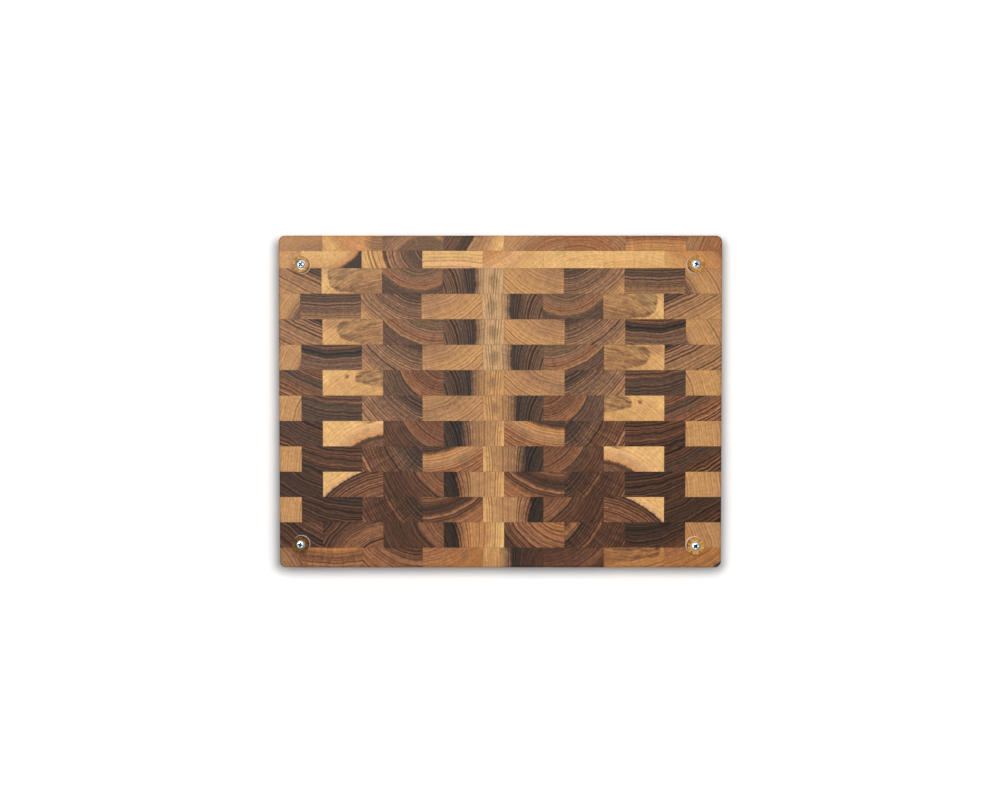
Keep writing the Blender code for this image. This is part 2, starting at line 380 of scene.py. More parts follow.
# Eight planks, A to H. A list runs from a plank's first saw cut to its last, its last value holds from there
# on, and a single value holds for all.
# pith: where the rings centre, in mm over the plank's end; spacing: mm from ring to ring
# shades: colours outwards from the pith, each with its place in mm from the block's middle
# lines: dark and light ring lines, and the dark ones on pale wood; bands: strength and width of broad streaks
# sway, wobble: how far the rings stray; lean, bulge: how they lean and bow; rays: their strength
# ragged: how rough the edges of the shades are
# patch: place, half sizes, strength and colour of a soft blotch
# stain: tip and half width of a stain that runs in from the right
# The usual patch and stain lie past the block's end, so they don't show.
noPatch = "200 0 1 1 0 tan"
usual = {"lines": (0.4, 0.25, 0.2), "bands": (0.15, 6.0), "sway": 1.8, "wobble": 0.4, "ragged": 0.5,
         "rays": 0.2, "lean": 0.0, "bulge": 0.0, "patch": noPatch, "stain": (90, 8, 5)}
planks = {
    "A": {
        "pith": [(165, -240), (150, -215), (140, -200), (150, -210), (150, -210), (140, -150)],
        "spacing": [3.2, 3.2, 3.4, 3.6, 3.7, 4.4],
        "shades": [
            "-24 bistre, -16 cocoa, -9 hazel, 0 hazel, 10 tan, 22 straw",
            "-25 coal, -19 ebony, -16 chestnut, -4 hazel, 8 hazel, 22 hazel",
            "-22 rust, -15 rust, -11 bistre, -5 cocoa, 3 sienna, 16 sienna",
            "-24 madder, -10 madder, -2 bistre, 6 sepia, 20 sepia",
            "-22 madder, -8 wenge, 6 wenge, 20 madder",
            "-20 sepia, -6 wenge, 6 madder, 20 sepia"],
        "lines": [(0.85, 0.4, 0.6), (0.9, 0.35, 0.65), (1.1, 0.35, 0.6), (1.1, 0.3, 0.5),
                  (1.0, 0.25, 0.5), (1.3, 0.45, 0.6)],
        "bands": [(0.15, 6), (0.2, 6), (0.4, 6), (0.65, 4), (0.7, 4), (0.6, 4)],
        "sway": [1.6, 1.6, 2.2, 3.0], "wobble": [0.4, 0.4, 0.6, 1.0]},
    "B": {
        "pith": [(70, 85), (70, 82), (70, 80), (70, 78), (76, 95), (70, 63)],
        "spacing": [2.6, 2.6, 2.6, 3.0, 3.2, 3.0],
        "shades": [
            "-25 straw, -5 straw, 5 honey, 12 cream",
            "-25 straw, -5 straw, 5 honey, 12 honey",
            "-25 straw, -8 honey, 10 honey, 20 cream",
            "-26 umber, -14 sepia, -11.4 bistre, -10.2 amber, -4 peach, 12 cream",
            "-25 sienna, -5 rust, 5 sepia, 8.0 bistre, 9.2 peach, 16 cream",
            "-40 russet, -20 sienna, -5 sienna, 8 sepia, 22 madder, 32 wenge"],
        "lines": [(0.3, 0.2, 0.2), (0.3, 0.2, 0.2), (0.3, 0.3, 0.14), (0.8, 0.4, 0.08),
                  (0.9, 0.35, 0.08), (1.0, 0.25, 0.4)],
        "stain": [(7, 8, 17), (16, 12, 11), (33, 7.5, 6), (80, 7, 5), (95, 7, 5)],
        "patch": ["4 2 6 5 0.5 hazel", "10 4.5 11 7 0.7 hazel", "25 6.5 3 3 0.9 umber",
                  "47 0 9 3 0.6 umber", noPatch]},
    "C": {
        "pith": [(38, -25), (57, -46), (62, -14), (75, -25), (88, -30), (95, -25)],
        "spacing": [2.6, 2.8, 3.0, 3.0, 3.2, 3.4],
        "shades": [
            "-14 olive, -5 olive, -3.4 chestnut, 5 sienna, 7.8 hazel, 9.4 mocha",
            "-13 olive, -7 umber, -4 chestnut, 3 sienna, 7.5 hazel, 9.2 cocoa",
            "-22 rust, -8 rust, 0 sienna, 5.2 russet, 7.0 mocha, 18 cocoa",
            "-26 rust, -8 rust, -1 sienna, 0.6 russet, 2.4 bistre, 12 sepia",
            "-26 rust, -12 sienna, -9.5 sienna, -8 wenge, -3 sepia, 16 madder",
            "-26 rust, -12 sienna, -9 rust, -7.8 jet, -5 madder, 16 madder"],
        "lines": [(0.5, 0.2, 0.3), (0.5, 0.25, 0.3), (0.6, 0.25, 0.3), (0.6, 0.2, 0.3),
                  (0.6, 0.15, 0.3), (0.5, 0.15, 0.3)]},
    "D": {
        "pith": (-42, 36), "spacing": 2.7, "lean": 0.29, "bulge": [-1.0, -0.8, -0.8, -1.0, -1.0, -0.8],
        "shades": [
            "-30 umber, -13 umber, -8 mocha, 1.2 ebony, 3.4 chestnut, 10 wheat",
            "-30 umber, -13 cocoa, -8 mocha, 0.6 ebony, 2.8 chestnut, 11 wheat",
            "-30 cocoa, -9 bistre, -4.0 ebony, -2.0 umber, 3 hazel, 15 straw",
            "-30 bistre, -12.2 coal, -9.6 cocoa, -2 hazel, 15 tan, 29 honey",
            "-32 wenge, -17.6 jet, -13.4 sienna, -2 tan, 12 tan, 30 honey",
            "-32 wenge, -17.6 jet, -13.2 sienna, -4 amber, 12 amber, 25 cream"],
        "lines": (1.2, 0.0, 0.55), "bands": (0.12, 4), "sway": 0.8, "ragged": 0.9,
        "patch": ["52 13 6 10 0.5 olive", "51 14 6 10 0.55 olive", "50 13 6 8 0.55 umber",
                  "50 14 5 9 0.3 hazel", "41 13 5 6 0.4 hazel", "46 15 10 8 0.3 hazel"]},
    "E": {
        "pith": [(66, -50), (66, -50), (66, -52), (60, -68), (62, -64), (66, -30)],
        "spacing": [2.9, 2.9, 2.9, 3.3, 3.6, 4.0],
        "shades": [
            "-22 hazel, -10 tan, -2 tan, 8 straw, 28 straw",
            "-22 hazel, -8 tan, 0 tan, 8 straw, 14 straw, 28 tan",
            "-22 tan, -5 hazel, 5 tan, 28 tan",
            "-18 bistre, -12 wenge, -9 sienna, -7 amber, 0 tan, 10 russet",
            "-18 sienna, -10 madder, -1 wenge, 3 sienna, 7 madder, 13 russet",
            "-26 ochre, -10 russet, 2 sienna, 12 rust, 22 madder"],
        "lines": [(0.5, 0.4, 0.55), (0.5, 0.4, 0.55), (0.5, 0.35, 0.52), (0.9, 0.35, 0.5),
                  (0.55, 0.25, 0.3), (0.75, 0.3, 0.5)],
        "ragged": [1.2, 1.2, 1.2, 0.6, 0.5],
        "patch": ["50 11 15 16 0.25 chestnut", "48 8 18 13 0.3 chestnut", "54 20 12 8 0.3 chestnut",
                  "18 14 9 9 0.35 umber", noPatch]},
    "F": {
        "pith": [(-2, -38), (-15, -55), (-30, -55), (-43, -38)],
        "spacing": [2.9, 2.9, 2.8, 2.9, 3.0],
        "shades": [
            "-24 bistre, -16 mocha, -6 umber, 6 chestnut, 18 hazel, 28 straw",
            "-26 bistre, -18 mocha, -9 umber, 2 chestnut, 14 chestnut, 26 tan",
            "-30 rust, -22 ebony, -13 mocha, -4 umber, 12 chestnut, 28 hazel",
            "-34 rust, -27 coal, -17 bistre, -8 cocoa, 5 sepia, 25 rust",
            "-32 rust, -24 jet, -14 wenge, -5 madder, 8 madder, 25 sepia",
            "-32 jet, -24 russet, -17 jet, -8 madder, 8 madder, 25 madder"],
        "lines": [(0.85, 0.6, 0.6), (0.75, 0.5, 0.5), (0.75, 0.5, 0.5), (0.8, 0.48, 0.4),
                  (0.8, 0.45, 0.3)],
        "bands": [(0.15, 6), (0.15, 6), (0.15, 6), (0.1, 5)], "rays": [0.3, 0.35, 0.4, 0.8, 0.9]},
    "G": {
        "pith": [(30, -300), (26, -95), (12, -110), (8, -110), (5, -100), (15, -60)],
        "spacing": [2.8, 3.0, 3.2, 3.3, 3.4, 3.6],
        "shades": [
            "-13 coal, -10.5 cocoa, -6 mocha, -3 umber, 4 umber, 11 hazel",
            "-13 bistre, -10 rust, -7 bistre, -2 coal, 1 mocha, 7 umber",
            "-14 mocha, -8 rust, -3 bistre, 2 mocha, 8 bistre, 14 mocha",
            "-14 madder, -6 sepia, 0 madder, 6 sepia, 12 wenge",
            "-14 wenge, -6 wenge, 0 madder, 8 wenge, 14 madder",
            "-14 wenge, -6 jet, 0 wenge, 6 wenge, 11 madder, 15 sepia"],
        "lines": [(0.95, 0.4, 0.5), (0.6, 0.25, 0.4), (0.5, 0.2, 0.4), (0.75, 0.25, 0.4),
                  (0.75, 0.2, 0.4), (0.7, 0.15, 0.4)],
        "bands": [(0.2, 6), (0.25, 6), (0.5, 4.5), (0.65, 4), (0.55, 4), (0.55, 4.5)],
        "sway": [1.5, 2.5, 3.5, 3.5, 3.0], "wobble": [0.4, 0.6, 1.1, 1.2, 1.0, 0.8]},
    "H": {
        "pith": [(-42, 51), (-42, 51), (-70, 45), (-90, 25), (-90, 25), (-70, 45)],
        "spacing": [2.8, 2.8, 2.8, 2.8, 2.8, 3.0],
        "shades": [
            "-34 cocoa, -27 umber, -23 hazel, -16 straw, 0 tan, 15 tan",
            "-36 bistre, -31 umber, -27 tan, -16 straw, 0 tan, 15 tan",
            "-32 tan, -22 straw, 0 straw, 12 tan",
            "-32 straw, -10 straw, 8 tan",
            "-32 straw, -10 straw, 8 tan",
            "-36 russet, -28 amber, -15 tan, 10 tan"],
        "lines": [(0.7, 0.35, 0.3), (0.7, 0.35, 0.35), (0.5, 0.3, 0.35), (0.5, 0.35, 0.35),
                  (0.5, 0.4, 0.4)]},
}


def oneCut(pith, spacing, lines, shades, **more):
    return {"pith": pith, "spacing": spacing, "lines": lines, "shades": shades, **more}


# Strips 1, 2 and 14 come from other planks, one cut of each.
firstStrip = {
    "A": oneCut((70, 75), 3.0, (0.3, 0.2, 0.25), "-16 hazel, -6 tan, 3 tan, 12 straw"),
    "B": oneCut((60, -20), 3.2, (0.2, 0.5, 0.15), "0 amber, 10 amber, 22 honey",
                patch="57 19 15 14 0.75 umber"),
    "C": oneCut((43, 47), 2.8, (0.25, 0.15, 0.3),
                "-14 olive, -3 olive, -1.4 umber, 0 hazel, 10 chestnut, 18 umber"),
    "D": oneCut((-45, -20), 3.0, usual["lines"],
                "-16 cocoa, -6 bistre, -1 ebony, 1 hazel, 16 tan, 30 cream", bands=(0.5, 5)),
    "E": oneCut((70, 70), 3.0, (0.35, 0.2, 0.25), "-25 hazel, -10 russet, 0 hazel, 10 tan"),
    "F": oneCut((15, 60), 3.2, (0.4, 0.2, 0.3), "-20 russet, 0 russet, 12 hazel"),
    "G": oneCut((30, 300), 3.0, (0.4, 0.3, 0.3), "-13 amber, -6 amber, -1 russet, 6 sienna", rays=0.4),
    "H": oneCut((70, 40), 3.6, (0.35, 0.2, 0.3), "-8 russet, 10 russet, 16 hazel, 26 hazel"),
}
secondStrip = {
    "A": oneCut((110, 100), 2.4, (0.3, 0.15, 0.2), "-21 honey, 0 amber, 15 amber, 26 russet"),
    "B": oneCut((40, 120), 3.4, (0.3, 0.2, 0.14), "-10 cream, 0 honey, 10 cream"),
    "C": oneCut((10, 80), 3.2, (0.3, 0.2, 0.2), "-10 cream, 15 cream", patch="32 9 10 3 0.35 amber"),
    "D": oneCut((90, -60), 2.4, (0.4, 0.2, 0.3), "-20 amber, -5 peach, 5 honey, 16 cream"),
    "E": oneCut((35, 280), 4.2, (0.4, 0.1, 0.5), "-14 cream, -4 peach, 10 cream"),
    "F": oneCut((-15, -8), 5.0, (0.95, 0.25, 0.5),
                "-30 mocha, -14 umber, -4 chestnut, 3 hazel, 7 straw, 22 honey", bands=(0.2, 6)),
    "G": oneCut((47, -34), 2.8, (0.3, 0.2, 0.25),
                "-15 cream, 0 honey, 5 amber, 6.6 sienna, 7.6 ebony, 20 ebony"),
    "H": oneCut((-60, 20), 4.0, (0.3, 0.2, 0.1), "0 straw"),
}
lastStrip = {
    "A": oneCut((90, -100), 3.4, (0.5, 0.15, 0.4), "-25 russet, -8 ochre, 10 ochre, 25 tan",
                patch="4 20 8 7 1.0 coal"),
    "B": oneCut((40, -60), 3.6, (0.4, 0.15, 0.3), "-10 amber, 10 ochre", stain=(4, 3, 7)),
    "C": oneCut((60, -40), 3.2, (0.5, 0.1, 0.3), "-20 madder, 0 sepia, 12 rust, 20 madder"),
    "D": oneCut((-42, 36), 2.8, (0.6, 0.15, 0.4),
                "-30 madder, -10 wenge, -2 jet, 1.4 jet, 6.5 chestnut, 13 straw",
                lean=0.29, bulge=-1.0, bands=(0.4, 5)),
    "E": oneCut((66, -50), 3.4, usual["lines"], "-12 russet, 8 ochre", ragged=1.2,
                patch="18 8 4 9 0.5 umber"),
    "F": oneCut((5, -40), 3.8, (0.8, 0.2, 0.5), "-20 madder, -5 rust, 10 russet, 25 sienna"),
    "G": oneCut((30, -120), 3.4, (0.5, 0.2, 0.4), "-10 ochre, -2 rust, 6 russet", rays=0.6),
    "H": oneCut((60, 45), 3.4, (0.5, 0.3, 0.4), "-10 hazel, 10 hazel, 22 sienna"),
}
otherPlanks = {1: firstStrip, 2: secondStrip, 14: lastStrip}


def shadeStops(text):  # "place tone, place tone, ..." as six places and six linear colours
    stops = [part.split() for part in text.split(",")]
    places = [float(stop[0]) for stop in stops]
    colours = [linear(tones[stop[1]]) for stop in stops]
    while len(places) < shadeCount:    # the last colour goes on outwards
        places.append(places[-1] + shadeGap)
        colours.append(colours[-1])
    return places + [part for colour in colours for part in colour]


def patchValues(text):
    parts = text.split()
    return [float(part) for part in parts[:5]] + linear(tones[parts[5]])


def numbers(value):
    return list(value) if isinstance(value, (list, tuple)) else [value]


def readPlank(plank):  # every setting as a list of number lists, one for each saw cut
    full = {**usual, **plank}
    full = {name: value if isinstance(value, list) else [value] for name, value in full.items()}
    full["shades"] = [shadeStops(text) for text in full["shades"]]
    full["patch"] = [patchValues(text) for text in full["patch"]]
    return {name: [numbers(value) for value in values] for name, values in full.items()}


def along(values, place):  # a plank's value at a saw cut, blended between the cuts
    last = len(values) - 1
    place = min(max(place, 0.0), float(last))
    low = min(int(place), max(last - 1, 0))
    share = place - low
    first, second = values[low], values[min(low + 1, last)]
    return [a + (b - a) * share for a, b in zip(first, second)]


def grainOf(piece, plank, seed, grainPlace):  # keeps a plank's values at each point, for the finish
    full = readPlank(plank)
    rows = {}

    def note(name, values):
        rows.setdefault(name, []).extend(values)

    for corner in piece.data.vertices:
        spot, cut = grainPlace(corner.co)
        now = {name: along(values, cut) for name, values in full.items()}
        pith, patch, shades = now["pith"], now["patch"], now["shades"]
        middle = math.hypot(block["wide"] / 2 - pith[0], block["deep"] / 2 - pith[1])
        note("grain", spot)
        note("pith", pith + now["spacing"])
        note("form", [middle] + now["lean"] + now["bulge"])
        note("lines", now["lines"])
        note("flow", now["sway"] + now["wobble"] + [seed])
        note("bands", now["bands"] + now["ragged"])
        note("stain", now["stain"])
        note("patch", patch[:3])
        note("patchMore", patch[3:5] + now["rays"])
        note("patchTone", patch[5:])
        note("placesIn", shades[:3])
        note("placesOut", shades[3:shadeCount])
        for k in range(shadeCount):
            start = shadeCount + 3 * k
            note("shade%d" % k, shades[start:start + 3])
    for name, values in rows.items():
        layer = piece.data.attributes.new(name, "FLOAT_VECTOR", "POINT")
        layer.data.foreach_set("vector", values)


# Tints multiply the wood's colour. Lengths are in mm, apart from the bump's depth.
walnut = {
    "slowWave": 20.0,         # from one sway of the rings to the next
    "quickWave": 4.5,         # and from one wobble to the next
    "alongPlank": 0.06,       # how much slower the wood changes along the plank than across it
    "leanFull": 34.0,         # along the block, where the rings lean in full
    "ringUneven": 1.7,        # rings by which the spacing strays
    "paleFrom": (0.26, 0.50),     # red in the colour, of brown wood and of pale
    "streakDark": (0.50, 0.50, 0.52),
    "streakWarm": (1.34, 1.16, 1.02),
    "darkFrom": (0.50, 0.66),     # of the streaks' noise, dark above this and warm below that
    "warmFrom": (0.34, 0.50),
    "lightLine": (0.56, 0.76, 0.92),    # in a ring: where its light line starts, is full and ends
    "darkLine": (0.05, 0.18, 0.56),     # where its dark line is full, fades and ends
    "darkTint": (0.26, 0.23, 0.22),
    "lightTint": (0.95, 0.95, 0.95),
    "glintOnDark": (0.18, 0.070, 0.030, 1),    # what a light line adds
    "glintOnPale": (0.30, 0.148, 0.066, 1),
    "glintFrom": (0.05, 0.2),
    "poreFrom": (0.54, 0.72),
    "poreDark": 0.36,
    "blotchEdge": (0.1, 1.1),
    "stainTint": (0.37, 0.34, 0.42),
    "stainTip": (0.50, 0.48, 0.52),
    "stainEdge": (-1.0, 1.2),
    "stainRim": (1.0, 7.0),   # how far in its darker edge reaches
    "stainFlare": 0.18,       # how fast a stain widens behind its tip
    "stainFade": 60.0,        # how far behind it the stain fades, and its dark edge
    "tipFade": 32.0,
    "fibreShare": 1.9,        # how much each texture lightens and darkens the wood
    "poreShare": 0.9,
    "ringShare": 0.16,
    "cloudShare": 0.30,
    "rayShare": 2.0,
    "glueEdge": (0.05, 0.30),
    "glueDark": 0.25,
    "rough": 0.52,
    "gloss": 0.075,
    "bump": 0.22,
    "bumpDepth": 0.00012,     # m
}

# stretch along a ring, outwards and along the plank, then the noise's scale, detail and roughness
walnutTextures = {
    "rays": ((1.0, 0.06, 1.0), 0.5, 2.0, 0.6),
    "breaks": ((0.12, 0.5, 1.0), 1.0, 2.0, 0.6),
    "fibres": ((0.45, 1.0, 1.0), 0.55, 3.0, 0.7),
    "streaks": ((0.2, 1.0, 1.0), 0.42, 3.0, 0.62),
    "mottle": ((0.3, 1.0, 1.0), 0.28, 3.0, 0.65),
    "pores": ((1.0, 1.0, 1.0), 0.7, 2.0, 0.7),
    "clouds": ((1.0, 1.0, 1.0), 1 / 18, 2.0, 0.55),
}


def texture(place, kind):
    stretch, scale, detail, rough = walnutTextures[kind]
    return place.vector("MULTIPLY", stretch).noise(scale, detail, rough)


def tinted(wood, share, tint):  # the wood under a tint, by a share
    return share.held().between(wood, wood.vector("MULTIPLY", tint))


def blotched(wood, x, y, uneven, streaked):  # the wood with its soft blotch
    patchX, patchY, patchLong = wood.attribute("patch").split()
    patchDeep, patchShare, _ = wood.attribute("patchMore").split()
    asideX = (x - patchX) / patchLong
    asideY = (y - patchY) / patchDeep
    blotch = 1 - (asideX * asideX + asideY * asideY + uneven).step(*walnut["blotchEdge"])
    return (blotch * patchShare * streaked).held().between(wood, wood.attribute("patchTone"))


def stained(wood, x, y, own, fine, slowY, pores):
    # the stain grows in from one side, in streaks along the rings that are darkest at their tips
    tipX, tipY, tipWide = wood.attribute("stain").split()
    streak = texture(fine, "streaks")
    past = x - tipX - tipWide
    ahead = past.calc("MINIMUM", 0.0)
    flare = tipWide + past.calc("MAXIMUM", 0.0) * walnut["stainFlare"]
    beside = y - tipY
    away = (ahead * ahead + beside * beside).calc("SQRT")
    away = away + (streak - 0.5) * 6.0 + slowY * 5.0 + (pores - 0.5) * 5.0
    deep = flare - away
    inside = deep.step(*walnut["stainEdge"])
    fade = 1 - ((x - tipX) / walnut["stainFade"]).held() * 0.35
    mottle = texture(own, "mottle").step(0.32, 0.68)
    share = inside * fade * (0.55 + mottle * 0.5 + (streak - 0.5) * 2.2)
    wood = tinted(wood, share, walnut["stainTint"])
    tip = 1 - ((x - tipX) / walnut["tipFade"]).held()
    edge = inside * (1 - deep.step(*walnut["stainRim"])) * tip * streak.step(0.34, 0.56)
    return tinted(wood, edge * 0.8, walnut["stainTip"])


def walnutFinish():
    finish, wire, shader = newFinish("oiledWalnut")
    grain = wire.attribute("grain")
    x, y, z = grain.split()    # mm along the block, across it and along the plank
    pith = wire.attribute("pith")
    spacing = pith.split()[2]
    middle, lean, bulge = wire.attribute("form").split()
    darkLines, lightLines, paleLines = wire.attribute("lines").split()
    sway, wobble, seed = wire.attribute("flow").split()
    bands, bandWide, ragged = wire.attribute("bands").split()
    rayStrength = wire.attribute("patchMore").split()[2]
    places = wire.attribute("placesIn").split() + wire.attribute("placesOut").split()
    shades = [wire.attribute("shade%d" % k) for k in range(shadeCount)]

    # the plank's own place in the tree, drawn out along its length, and its rings pushed out of true;
    # the seed sets each plank's noise apart from the others'
    own = wire.joined(x, y + seed * 37.0, z * walnut["alongPlank"] + seed * 11.0)
    half = (0.5, 0.5, 0.5)
    slow = own.noise(1 / walnut["slowWave"], 1.0, 0.5, out="Color").vector("SUBTRACT", half)
    quick = own.noise(1 / walnut["quickWave"], 2.0, 0.5, out="Color").vector("SUBTRACT", half)
    push = slow.scaled(sway * 2.0).vector("ADD", quick.scaled(wobble))
    across, up, _ = grain.vector("ADD", push).vector("SUBTRACT", pith).split()
    radius = (across * across + up * up).calc("SQRT")
    turn = up.calc("ARCTAN2", across)
    slowX, slowY, _ = slow.split()
    quickX, quickY, _ = quick.split()

    # growth rings, each with its own chance of being strong or pale
    aside = y - block["deep"] / 2
    tilted = lean * aside + bulge * (aside * aside) / (block["deep"] / 2) ** 2
    straight = radius + tilted * x.ramp(0.0, walnut["leanFull"])
    stray = (straight * 0.12 + seed * 5.0).noise(1.0, 1.0, 0.5, "1D") - 0.5
    phase = straight / spacing + stray * walnut["ringUneven"]
    ring = phase.calc("FRACT")
    ringNumber = phase.calc("FLOOR")
    chance = {"noise_dimensions": "1D"}
    strong = wire.node("ShaderNodeTexWhiteNoise", chance, {"W": ringNumber + seed * 13.7})
    bright = wire.node("ShaderNodeTexWhiteNoise", chance, {"W": ringNumber + seed * 7.9 + 0.37})

    # colours outwards from the pith
    fine = wire.joined(turn * middle, straight, z * 0.05)
    rays = texture(fine, "rays")
    place = radius - middle + tilted + (bright - 0.5) * spacing * 0.6
    place = place + (quickX * 2.0 + slowX * 2.0 + (rays - 0.5) * 5.0) * ragged
    wood = shades[0]
    for k in range(1, shadeCount):
        wood = place.ramp(places[k - 1], places[k]).between(wood, shades[k])
    paleness = wood.split()[0].step(*walnut["paleFrom"])

    # broad streaks
    band = (radius / bandWide + seed * 9.1).noise(1.0, 2.0, 0.6, "1D")
    wood = tinted(wood, band.step(*walnut["darkFrom"]) * bands, walnut["streakDark"])
    warm = (1 - band.step(*walnut["warmFrom"])) * bands * (1 - paleness * 0.8)
    wood = tinted(wood, warm, walnut["streakWarm"])

    # a thin light line ends each ring, and a dark one that fades starts the next
    lightStart, lightFull, lightEnd = walnut["lightLine"]
    darkFull, darkFade, darkEnd = walnut["darkLine"]
    lightLine = ring.step(lightStart, lightFull) * (1 - ring.step(lightEnd, 1.0))
    darkLine = (1 - ring.step(darkFade, darkEnd)) * ring.step(0.0, darkFull)
    broken = 0.5 + texture(fine, "breaks")
    darkShare = darkLine * (darkLines + (paleLines - darkLines) * paleness)
    wood = tinted(wood, darkShare * (0.2 + strong * strong * 1.6) * broken, walnut["darkTint"])
    glint = wood.split()[0].step(*walnut["glintFrom"]).between(walnut["glintOnDark"], walnut["glintOnPale"])
    lighter = wood.vector("MULTIPLY", walnut["lightTint"]).vector("ADD", glint)
    lightShare = lightLine * lightLines * (0.15 + bright * bright * 1.7) * broken * (1 - paleness * 0.55)
    wood = lightShare.held().between(wood, lighter)

    # fibres and pores, a blotch and a stain
    fibre = texture(fine, "fibres")
    pores = texture(own, "pores")
    specks = pores.step(*walnut["poreFrom"])
    wood = blotched(wood, x, y, quickY * 1.2 + slowY * 0.6, 0.55 + darkLine * 0.5 + fibre * 0.5)
    wood = stained(wood, x, y, own, fine, slowY, pores)

    # lighter and darker by fibre, pore, ring and ray, with faint glue lines at the plank's own faces
    cloud = texture(own, "clouds")
    speckled = (fibre - 0.5) * walnut["fibreShare"] + (pores - 0.5) * walnut["poreShare"]
    tone = 1 + speckled * (1 - paleness * 0.45) + (strong - 0.5) * walnut["ringShare"]
    tone = tone * (0.88 + cloud * walnut["cloudShare"]) * (1 - specks * (walnut["poreDark"] - paleness * 0.2))
    tone = tone * (1 + (rays - 0.5) * rayStrength * walnut["rayShare"])
    gapX = x.calc("MINIMUM", block["wide"] - x)
    gapY = y.calc("MINIMUM", block["deep"] - y)
    glue = 1 - gapX.calc("MINIMUM", gapY).step(*walnut["glueEdge"])
    tone = tone * (1 - glue * walnut["glueDark"])

    height = specks * -0.6 + darkLine * -0.2 + fibre * 0.3
    bump = {"Strength": walnut["bump"], "Distance": walnut["bumpDepth"], "Height": height}
    feed(shader, {"Base Color": wood.scaled(tone),
                  "Roughness": walnut["rough"] + specks * 0.12 + (1 - paleness) * 0.03,
                  "Normal": wire.node("ShaderNodeBump", {}, bump),
                  "Specular IOR Level": walnut["gloss"]})
    return finish


slab = {"corner": 0.0065, "cornerSteps": 12, "rim": 0.003, "rimSteps": 8, "joint": 0.00004,
        "pilotRadius": 0.0024, "pilotEnd": 0.0299, "pilotSides": 24, "smooth": math.radians(30)}   # m


def footPlace(name):
    low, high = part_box("foot_" + name)
    return (low.x + high.x) / 2, (low.y + high.y) / 2


def rise(edge):
    return abs(edge.verts[0].co.z - edge.verts[1].co.z)


def roundedSlab():
    boxes = [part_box("strip_%02d" % row) for row in range(1, len(stripDepths) + 1)]
    low = Vector([min(box[0][k] for box in boxes) for k in range(3)])
    high = Vector([max(box[1][k] for box in boxes) for k in range(3)])
    deselectAll()
    bpy.ops.mesh.primitive_cube_add(size=1, location=(low + high) / 2)
    whole = bpy.context.object
    whole.scale = high - low
    bakePlace(whole)
    pickEdges(whole, lambda edge: rise(edge) > boardThick / 2)
    bpy.ops.mesh.bevel(offset=slab["corner"], segments=slab["cornerSteps"], profile=0.5, affect="EDGES")
    pickEdges(whole, lambda edge: rise(edge) < hairline)
    bpy.ops.mesh.bevel(offset=slab["rim"], segments=slab["rimSteps"], profile=0.5, affect="EDGES")
    bpy.ops.object.mode_set(mode="OBJECT")
    for name in feetNames:    # blind pilot holes for the screws
        x, y = footPlace(name)
        deselectAll()
        bpy.ops.mesh.primitive_cylinder_add(vertices=slab["pilotSides"], radius=slab["pilotRadius"],
                                            depth=2 * (slab["pilotEnd"] - underside),
                                            location=(x, y, underside))
        cutAway(whole, bpy.context.object)
    return whole, low


def sawn(source, name, axis, low, high):  # a copy of what lies between two joints, closed where it is cut
    piece = twin(source, name)
    holdOnly(piece)
    bpy.ops.object.mode_set(mode="EDIT")
    for place, side in ((low, -1), (high, 1)):
        if place is not None:
            point = Vector()
            normal = Vector()
            point[axis] = place - side * slab["joint"]
            normal[axis] = side
            bpy.ops.mesh.select_all(action="SELECT")
            bpy.ops.mesh.bisect(plane_co=point, plane_no=normal, use_fill=True, clear_outer=True)
    bpy.ops.object.mode_set(mode="OBJECT")
    return piece


def stripBlocks(strip, row, left, front):  # a strip's eight blocks, each with its plank's grain
    odd = row % 2 == 1
    letters = sorted(planks)
    lastBlock = len(letters) - 1
    firstJoint = (block["oddFirst"] if odd else block["evenFirst"]) + stripSlips.get(row, 0)
    ends = [left + (firstJoint + (n - 1) * block["wide"]) / mmPerMetre for n in range(len(letters) + 1)]
    pair = (row - 3) // 2          # strips 3 and 4 lie on either side of the first saw cut
    heading = -1 if odd else 1     # every other strip is turned over, so the saw cuts pair up
    startY = block["deep"] - stripDepths[0] if row == 1 else 0.0    # strip 1 has lost its outer side
    made = []
    for n in range(len(letters)):
        leftCut = ends[n] if n > 0 else None
        rightCut = ends[n + 1] if n < lastBlock else None
        piece = sawn(strip, "blockBlank", 0, leftCut, rightCut)
        kind = n if odd else lastBlock - n
        start = ends[n] if odd else ends[n + 1]

        def grainPlace(co):  # place in the plank in mm, and the saw cut there
            depth = heading * (co.z - underside)
            spot = ((start - co.x) * heading * mmPerMetre, (co.y - front) * mmPerMetre + startY,
                    ((pair * 2 + 2) * boardThick + depth) * mmPerMetre)
            return spot, pair + 0.5 * depth / boardThick

        plank = otherPlanks.get(row, planks)[letters[kind]]
        seed = kind * 1.37 + (20 + row * 3.1 if row in otherPlanks else 0)    # a number for each plank
        grainOf(piece, plank, seed, grainPlace)
        made.append(piece)
    return made


def makeStrips(finish):
    whole, low = roundedSlab()
    front = low.y
    for row, depth in enumerate(stripDepths, 1):
        back = front + depth / mmPerMetre
        frontCut = front if row > 1 else None
        backCut = back if row < len(stripDepths) else None
        strip = sawn(whole, "stripBlank", 1, frontCut, backCut)
        made = stripBlocks(strip, row, low.x, front)
        holdOnly(made[0])
        for piece in made[1:]:
            piece.select_set(True)
        bpy.ops.object.join()
        joined = bpy.context.object
        joined.name = "walnutStrip%02d" % row
        joined.data.name = joined.name
        bpy.ops.object.shade_smooth_by_angle(angle=slab["smooth"])
        weigh = joined.modifiers.new("weigh", "WEIGHTED_NORMAL")
        weigh.keep_sharp = True
        applyAll(joined)
        dress(joined, "strip_%02d" % row, finish)
        bpy.data.objects.remove(strip)
        front = back
    bpy.data.objects.remove(whole)


makeStrips(walnutFinish())
print("strips done")


# Feet, washers and screws

